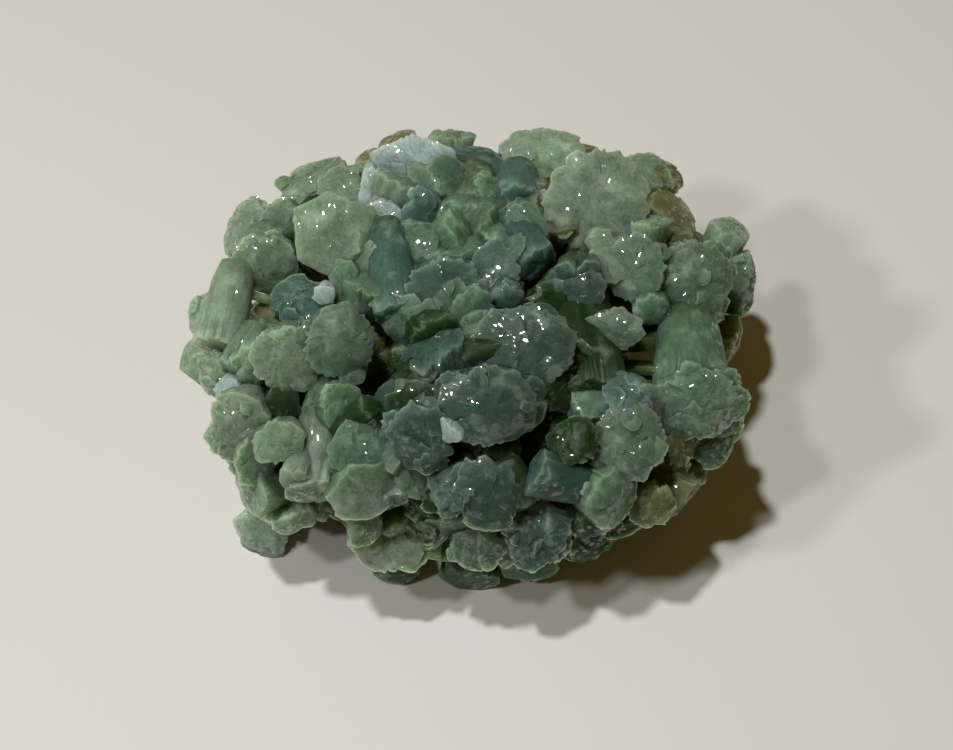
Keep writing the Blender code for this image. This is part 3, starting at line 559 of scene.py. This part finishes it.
def head_mesh(name, place, axis, side, wide, thick, length, waist, lobes, form, tone):
    """A bundle's head, P(a, s), closed, with the angle a round its axis.

    Crown, q from 0 to 1: P = place + S(a, q) d(a) + axis h, where S goes from q times a polygon to
    the rim's radius R(a), and h = rise (1 - e^f) + slope + waves - cuts + broken facets. Here e is
    how far out a point is on an oval, and each cut is a plane that falls away from some distance.
    Flank, v from 1 to 0: P = place + (O + (R - O) v^3) (k + (1 - k) v^p) d(a) + axis (h v^2 - length
    (1 - v)), an oval O at the waist and R(a) at the rim, uneven by folds along and ribs across.
    R(a) is the polygon times the reach of each lobe, less a notch between two lobes, and ragged.
    """
    sides, depth, notch, rag, crown, flatness, slope, cuts, steepest, facet, step, tilt = FORMS[form][:12]
    film = (GLINTING[name], GLINT_SHARE) if name in GLINTING else FORMS[form][14:]
    rng = seeded(name)
    edges = np.cumsum(rng.uniform(0.6, 1.4, lobes))
    edges *= math.tau / edges[-1]
    reach = rng.uniform(-0.6, 1.0, lobes) * depth
    small = min(wide, thick)
    large = small > SMALL_HEAD
    crown_rings, flank_rings = (CROWN_RINGS, FLANK_RINGS) if large else (SMALL_CROWN, SMALL_FLANK)
    per_lobe = max(3, round(math.tau * max(wide, thick) / POINT_SPACING / lobes))
    starts = np.concatenate(((0,), edges[:-1]))
    along = np.arange(per_lobe) / per_lobe
    angles = (starts[:, None] + (edges - starts)[:, None] * along).ravel()
    dip = rng.uniform(0.2, 1.4, lobes)[:, None] * np.abs(2 * along - 1) ** 4
    corners = len(angles)
    plain = flat_sided(angles, wide, thick, sides, rng)
    ragged = rng.uniform(-1.4, 0.6, corners) * rag * MM
    radius = plain * (1 + np.repeat(reach, per_lobe) - notch * dip.ravel())
    lean_x, lean_y = rng.normal(0, slope, 2)
    seeds = rng.integers(1 << 30, size=4)
    cut_way = rng.uniform(0, math.tau, cuts)
    cut_start = rng.uniform(0.2, 0.8, cuts) * small
    cut_slope = rng.uniform(0.3, 1.0, cuts) * steepest

    def crown_height(x, y):
        height = crown * small * (1 - np.hypot(x / wide, y / thick) ** flatness) + lean_x * x + lean_y * y
        height = height + CROWN_WAVE * waves(x, y, CROWN_WAVE_SIZE, np.random.default_rng(seeds[0]))
        out = x[..., None] * np.cos(cut_way) + y[..., None] * np.sin(cut_way) - cut_start
        height = height - (np.maximum(out, 0) * cut_slope).max(-1)
        sites = np.random.default_rng(seeds[1])
        return height + broken(x, y, 1.2 * max(wide, thick), facet * MM, step * MM, tilt, sites)

    q = crown_rings[:, None]
    spread = plain * q * (1 - q**4) + radius * q * q**4 + ragged * q**6
    x, y = spread * np.cos(angles), spread * np.sin(angles)
    crown_z = crown_height(x, y)
    v = flank_rings[:, None]
    flank_z = crown_z[-1] * v**2 - length * (1 - v)
    arc = angles[None] * small
    relief = FOLD * waves(arc, flank_z * 0.7, FOLD_SIZE, np.random.default_rng(seeds[2]))
    relief = relief + RIB * waves(arc, flank_z * 0.3, RIB_SIZE, np.random.default_rng(seeds[3]))
    seam = 0.5 + 0.5 * np.cos(angles)
    oval = ROUNDNESS * wide * thick / np.hypot(thick * np.cos(angles), wide * np.sin(angles))
    flank = (oval + (radius - oval) * v**3) * (waist + (1 - waist) * v**FLARE) + ragged * v**5
    flank = flank + relief * np.sin(math.pi * np.minimum(v + 0.15, 1)) * (1 - seam**8)
    fx, fy = flank * np.cos(angles), flank * np.sin(angles)
    xs = np.concatenate(((0,), x.ravel(), fx.ravel(), (0,)))
    ys = np.concatenate(((0,), y.ravel(), fy.ravel(), (0,)))
    top = float(crown_height(np.zeros(1), np.zeros(1))[0])
    zs = np.concatenate(((top,), crown_z.ravel(), flank_z.ravel(), (-length - 0.3 * thick,)))
    other = np.cross(axis, side)
    points = place + xs[:, None] * side + ys[:, None] * other + zs[:, None] * axis
    # Painted shade: the flank darkens into the root tone towards the waist
    grown = np.concatenate(((1,), np.ones(x.size), np.repeat(flank_rings**0.25, corners), (0,)))
    # Painted light: the rim value, highest at the crown's edge, pales the colour there
    outer = np.concatenate((crown_rings**16, flank_rings**14))
    rim = np.concatenate(((0,), np.repeat(outer, corners), (0,)))
    on_crown = np.concatenate(((1,), np.ones(x.size), np.repeat(flank_rings**20, corners), (0,)))
    films = FLANK_FILM + (np.array(film) - FLANK_FILM) * on_crown[:, None]
    fibre = np.stack((xs, ys, zs * 0.08), 1) / MM + rng.uniform(-50, 50, 3)
    triangles = skin((len(crown_rings) + len(flank_rings), corners))
    return as_mesh(name, points, triangles, toned(tone, grown, rim, rng), rim, fibre, films)


def stem_mesh(name, place, axis, side, wide, thick, length, waist, lobes, form, tone):
    """A tapered rod from a head's waist to the core."""
    rng = seeded(name + "_stem")
    root = place - axis * length
    anchor = BODY_MIDDLE + (root - BODY_MIDDLE) * STEM_SHARE
    back = unit(root - anchor)
    across = unit(np.cross(back, (0.31, 0.52, 0.79)))
    other = np.cross(back, across)
    stations = np.linspace(0, 1, STEM_RINGS)
    half = min(wide, thick) * waist * (STEM_TOP + (STEM_FOOT - STEM_TOP) * stations)
    angles = np.arange(STEM_CORNERS) * math.tau / STEM_CORNERS
    ring = np.cos(angles)[:, None] * across + np.sin(angles)[:, None] * other
    centres = root + (anchor - root) * stations[:, None]
    uneven = rng.uniform(0.88, 1.12, (1, STEM_CORNERS, 1))
    rings = centres[:, None] + ring[None] * half[:, None, None] * uneven
    beyond = back * thick * STEM_POINT
    points = np.concatenate(((root + beyond)[None], rings.reshape(-1, 3), (anchor - beyond)[None]))
    # Painted shade: the whole stem takes the dark root tone
    grown = np.zeros(len(points))
    local = points - root
    fibre = np.stack((local @ across, local @ other, local @ back * 0.08), 1) / MM + rng.uniform(-50, 50, 3)
    film = np.tile(FLANK_FILM, (len(points), 1))
    triangles = skin((STEM_RINGS, STEM_CORNERS))
    return as_mesh(name + "_stem", points, triangles, toned(tone, grown, grown, rng), grown, fibre, film)


def core_mesh():
    """The middle where the stems meet, a smaller rounded box with a rough skin."""
    ball = bmesh.new()
    bmesh.ops.create_icosphere(ball, subdivisions=5, radius=1)
    points = np.array([vertex.co[:] for vertex in ball.verts])
    triangles = np.array([[vertex.index for vertex in face.verts] for face in ball.faces])
    ball.free()
    reach = (np.abs(points / BODY_HALF) ** BODY_SQUARENESS).sum(1)
    far = CORE_SHARE * reach ** (-1 / BODY_SQUARENESS)
    x, y, z = points.T
    rough = 1 + CORE_ROUGH * waves(x + z, y - z, CORE_WAVE, np.random.default_rng(CORE_SEED))
    points = points * (far * rough)[:, None] + BODY_MIDDLE
    nothing = np.zeros(len(points))
    # Painted shade: the core takes the darkest root tone, for the shade deep inside
    tone = np.tile(np.array(TONES["deep"][0]), (len(points), 1))
    film = np.tile(FLANK_FILM, (len(points), 1))
    return as_mesh("core", points, triangles, tone, nothing, points / MM, film)


def without_sealed_hollows(mesh):
    """Keeps only the outermost skin, so that nothing is left inside the solid mineral."""
    work = bmesh.new()
    work.from_mesh(mesh)
    unseen = set(work.faces)
    skins = []
    while unseen:
        one = [unseen.pop()]
        for face in one:
            for edge in face.edges:
                near = [other for other in edge.link_faces if other in unseen]
                one.extend(near)
                unseen.difference_update(near)
        skins.append(one)
    skins.sort(key=len)
    bmesh.ops.delete(work, geom=[face for one in skins[:-1] for face in one], context="FACES")
    work.to_mesh(mesh)
    work.free()


def fused(base, pieces):
    """One mesh of the base and all the pieces grown into it, cut off flat at the resting plane."""
    whole = bpy.data.objects.new("prehnite", base)
    group = bpy.data.collections.new("bundles")
    for mesh in pieces:
        group.objects.link(bpy.data.objects.new(mesh.name, mesh))
    size = Matrix.Diagonal((CUTTER_SIDE, CUTTER_SIDE, CUTTER_DEPTH, 1))
    sunk = Matrix.Translation((0, 0, -CUTTER_DEPTH / 2))
    cutter = bmesh.new()
    bmesh.ops.create_cube(cutter, size=1, matrix=sunk @ size)
    block_mesh = bpy.data.meshes.new("below")
    cutter.to_mesh(block_mesh)
    cutter.free()
    block = bpy.data.objects.new("below", block_mesh)
    bpy.context.scene.collection.objects.link(whole)
    for step in ("UNION", "DIFFERENCE"):
        join = whole.modifiers.new(step, "BOOLEAN")
        join.operation = step
        join.solver = "MANIFOLD"
        if step == "UNION":
            join.operand_type = "COLLECTION"
            join.collection = group
        else:
            join.object = block
    graph = bpy.context.evaluated_depsgraph_get()
    mesh = bpy.data.meshes.new_from_object(whole.evaluated_get(graph))
    for thing in (*group.objects, block, whole):
        bpy.data.objects.remove(thing)
    bpy.data.collections.remove(group)
    without_sealed_hollows(mesh)
    triangles = sum(len(face.vertices) - 2 for face in mesh.polygons)
    whole = bpy.data.objects.new("prehnite", mesh)
    bpy.context.scene.collection.objects.link(whole)
    thin = whole.modifiers.new("fewer", "DECIMATE")
    thin.ratio = min(1, MOST_TRIANGLES / triangles)
    graph = bpy.context.evaluated_depsgraph_get()
    mesh = bpy.data.meshes.new_from_object(whole.evaluated_get(graph))
    bpy.data.objects.remove(whole)
    return mesh


def deepened(mesh):
    """Stores how deep each point lies under the body's surface, 0 at the heads and 1 in the clefts, for
    painted shade.
    """
    points = np.empty(len(mesh.vertices) * 3, dtype=np.float32)
    mesh.vertices.foreach_get("co", points)
    level = body_level(points.reshape(-1, 3) - ORIGIN_SHIFT) ** (1 / BODY_SQUARENESS)
    layer = mesh.attributes.new("deep", "FLOAT", "POINT")
    sunk = np.clip((CLEFT_LEVEL - level) / CLEFT_DEPTH, 0, 1)
    layer.data.foreach_set("value", sunk.astype(np.float32))


def node(tree, kind, **settings):
    """A node with its settings; a setting whose name is a socket's sets or links that socket."""
    made = tree.nodes.new(kind)
    for key, value in settings.items():
        if not key.startswith("in_"):
            setattr(made, key, value)
    for key, value in settings.items():
        if key.startswith("in_"):
            name = key[3:]
            socket = made.inputs[int(name)] if name.isdigit() else made.inputs[name.replace("_", " ")]
            if isinstance(value, bpy.types.NodeSocket):
                tree.links.new(value, socket)
            else:
                socket.default_value = value
    return made


def prehnite_material():
    """Milky green crystal: light enters it and spreads, its rims are paler by painted light and its
    clefts darker by painted shade, its flanks carry fine lengthwise lines, and glassy facets lie
    scattered over it, as a thin coat with its own normal."""
    material = bpy.data.materials.new("prehnite")
    material.use_nodes = True
    tree = material.node_tree
    shader = tree.nodes["Principled BSDF"]

    def attribute(name, socket):
        return node(tree, "ShaderNodeAttribute", attribute_name=name).outputs[socket]

    def noise(place, scale, detail):
        made = node(tree, "ShaderNodeTexNoise", in_Vector=place, in_Scale=scale, in_Detail=detail)
        return made.outputs["Fac"]

    def ranged(value, low, high, new_low, new_high):
        made = node(
            tree, "ShaderNodeMapRange", in_Value=value, in_1=low, in_2=high, in_3=new_low, in_4=new_high
        )
        return made.outputs[0]

    def combined(operation, first, second):
        return node(tree, "ShaderNodeMath", operation=operation, in_0=first, in_1=second).outputs[0]

    def blended(share, first, second, way="MIX"):
        made = node(
            tree, "ShaderNodeMix", data_type="RGBA", blend_type=way, in_0=share, in_6=first, in_7=second
        )
        return made.outputs[2]

    def leant(normal, cells, swing):
        """A normal that leans another way in each cell, by up to half the swing."""

        def vector(operation, first, **settings):
            made = node(tree, "ShaderNodeVectorMath", operation=operation, in_0=first, **settings)
            return made.outputs[0]

        centred = vector("SUBTRACT", cells, in_1=(0.5, 0.5, 0.5))
        scaled = vector("SCALE", centred, in_Scale=swing)
        return vector("NORMALIZE", vector("ADD", normal, in_1=scaled))

    place = node(tree, "ShaderNodeTexCoord").outputs["Object"]
    rim = attribute("rim", "Fac")
    film = attribute("film", "Vector")
    scatter, share, _ = node(tree, "ShaderNodeSeparateXYZ", in_0=film).outputs
    cloud = noise(place, 220.0, 4.0)
    lines = noise(attribute("fibre", "Vector"), 2.2, 3.0)
    grain = noise(place, 1500.0, 3.0)

    shade = ranged(cloud, 0.3, 0.7, 0.82, 1.2)
    streak = ranged(lines, 0.3, 0.7, 0.86, 1.14)
    fleck = ranged(grain, 0.3, 0.7, 0.86, 1.14)
    tint = combined("MULTIPLY", shade, combined("MULTIPLY", streak, fleck))
    varied = blended(1.0, attribute("tone", "Color"), tint, "MULTIPLY")
    # Painted shade: the clefts darken towards a dark olive by how deep they lie
    painted_cleft_shade = (0.075, 0.095, 0.014, 1)
    frost_and_rim_light_colour = (0.62, 0.68, 0.62, 1)
    sunk = blended(attribute("deep", "Fac"), varied, painted_cleft_shade)
    bruise = ranged(cloud, 0.58, 0.72, 0.0, 0.22)
    # Real frosted patches, and the rims paled a little towards the same colour: painted light through the
    # thin edges
    painted_rim_light = combined("MULTIPLY", rim, 0.08)
    edged = blended(combined("MAXIMUM", bruise, painted_rim_light), sunk, frost_and_rim_light_colour)
    tree.links.new(edged, shader.inputs["Base Color"])
    tree.links.new(ranged(grain, 0.0, 1.0, 0.34, 0.54), shader.inputs["Roughness"])

    cells = node(tree, "ShaderNodeTexVoronoi", in_Vector=place, in_Scale=1250.0).outputs["Color"]
    plates = node(tree, "ShaderNodeTexVoronoi", in_Vector=place, in_Scale=420.0).outputs["Color"]
    straight = node(tree, "ShaderNodeNewGeometry").outputs["Normal"]
    chance = node(tree, "ShaderNodeSeparateColor", in_0=cells).outputs[2]
    tree.links.new(combined("LESS_THAN", chance, share), shader.inputs["Coat Weight"])
    tree.links.new(leant(leant(straight, plates, 0.30), cells, scatter), shader.inputs["Coat Normal"])

    ribbed = node(
        tree,
        "ShaderNodeBump",
        in_Strength=0.7,
        in_Distance=0.00018,
        in_Height=lines,
        in_Normal=leant(straight, plates, 0.16),
    )
    pitted = node(
        tree,
        "ShaderNodeBump",
        in_Strength=0.6,
        in_Distance=0.00010,
        in_Height=grain,
        in_Normal=ribbed.outputs[0],
    )
    tree.links.new(pitted.outputs[0], shader.inputs["Normal"])

    shader.inputs["IOR"].default_value = 1.63
    shader.inputs["Specular IOR Level"].default_value = 0.14
    shader.inputs["Coat IOR"].default_value = 1.63
    shader.inputs["Coat Roughness"].default_value = 0.09
    shader.inputs["Subsurface Weight"].default_value = 1.0
    shader.inputs["Subsurface Radius"].default_value = (0.7, 1.0, 0.55)
    shader.inputs["Subsurface Scale"].default_value = 0.009
    return material


rows = [fuller(laid_out(row)) for row in SHEAVES] + list(spread_behind())
rows += [chip for row in rows for chip in chips_round(row)]
meshes = [head_mesh(*row) for row in rows]
meshes += [stem_mesh(*row) for row in rows]
for row in young_bundles(rows):
    meshes += [head_mesh(*row), stem_mesh(*row)]
cluster_mesh = fused(core_mesh(), meshes)
deepened(cluster_mesh)
cluster_mesh.shade_smooth()
cluster_mesh.set_sharp_from_angle(angle=SHARP_ANGLE)
cluster_mesh.materials.clear()
cluster_mesh.materials.append(prehnite_material())
cluster = bpy.data.objects.new("prehnite_crystals", cluster_mesh)
bpy.context.scene.collection.objects.link(cluster)
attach(cluster, "root")
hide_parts("prehnite_cluster")

# The floor: a plain matt table top, a hair's breadth under the cluster so that it shows no seam.
floor_half = 3.0
floor_height = -0.05 * MM
floor_mesh = bpy.data.meshes.new("floor")
corners = [(x * floor_half, y * floor_half, floor_height) for x, y in ((-1, -1), (1, -1), (1, 1), (-1, 1))]
floor_mesh.from_pydata(corners, [], [(0, 1, 2, 3)])
floor = bpy.data.objects.new("floor", floor_mesh)
bpy.context.scene.collection.objects.link(floor)
floor_paint = bpy.data.materials.new("floor_paint")
floor_paint.use_nodes = True
floor_shader = floor_paint.node_tree.nodes["Principled BSDF"]
floor_shader.inputs["Base Color"].default_value = (0.66, 0.655, 0.64, 1)
floor_shader.inputs["Roughness"].default_value = 0.55
floor_mesh.materials.append(floor_paint)

# The lights: one small lamp almost overhead, one above on the left and in front, a third one lower
# on the left, and a weak warm glow from the room, all as soft as their shadows in the photograph.


def lamp(name, direction, distance, size, power, colour):
    """A disc lamp at a distance from the cluster in a direction, turned to it."""
    data = bpy.data.lights.new(name, "AREA")
    data.shape = "DISK"
    data.size = size
    data.energy = power
    data.color = colour
    holder = bpy.data.objects.new(name, data)
    way = Vector(direction).normalized()
    holder.location = way * distance + Vector(BODY_MIDDLE)
    holder.rotation_euler = way.to_track_quat("Z", "Y").to_euler()
    bpy.context.scene.collection.objects.link(holder)


lamp("overhead", (-0.18, -0.04, 1.0), 1.0, 0.06, 5.6, (1.0, 1.0, 0.98))
lamp("overhead_left", (-0.45, -0.28, 1.0), 1.0, 0.08, 2.2, (1.0, 1.0, 0.98))
lamp("from_left", (-0.95, -0.45, 1.0), 1.4, 0.12, 4.5, (1.0, 0.99, 0.94))
world = bpy.data.worlds.new("room")
world.use_nodes = True
world.node_tree.nodes["Background"].inputs["Color"].default_value = (1.0, 0.66, 0.14, 1)
world.node_tree.nodes["Background"].inputs["Strength"].default_value = 0.09
bpy.context.scene.world = world
bpy.context.scene.view_settings.view_transform = "Standard"

# The camera: as the photograph was taken, from in front and 55 degrees above.
camera_data = bpy.data.cameras.new("camera")
camera_data.sensor_width = 36.0
camera_data.lens = 75.55
camera = bpy.data.objects.new("camera", camera_data)
spot = BODY_MIDDLE + TOWARD * EYE_DISTANCE + RIGHT * EYE_ACROSS + UP * EYE_UP + ORIGIN_SHIFT
turn = Matrix((RIGHT, UP, TOWARD)).transposed().to_4x4()
turn.translation = Vector(spot)
camera.matrix_world = turn
bpy.context.scene.collection.objects.link(camera)
bpy.context.scene.camera = camera
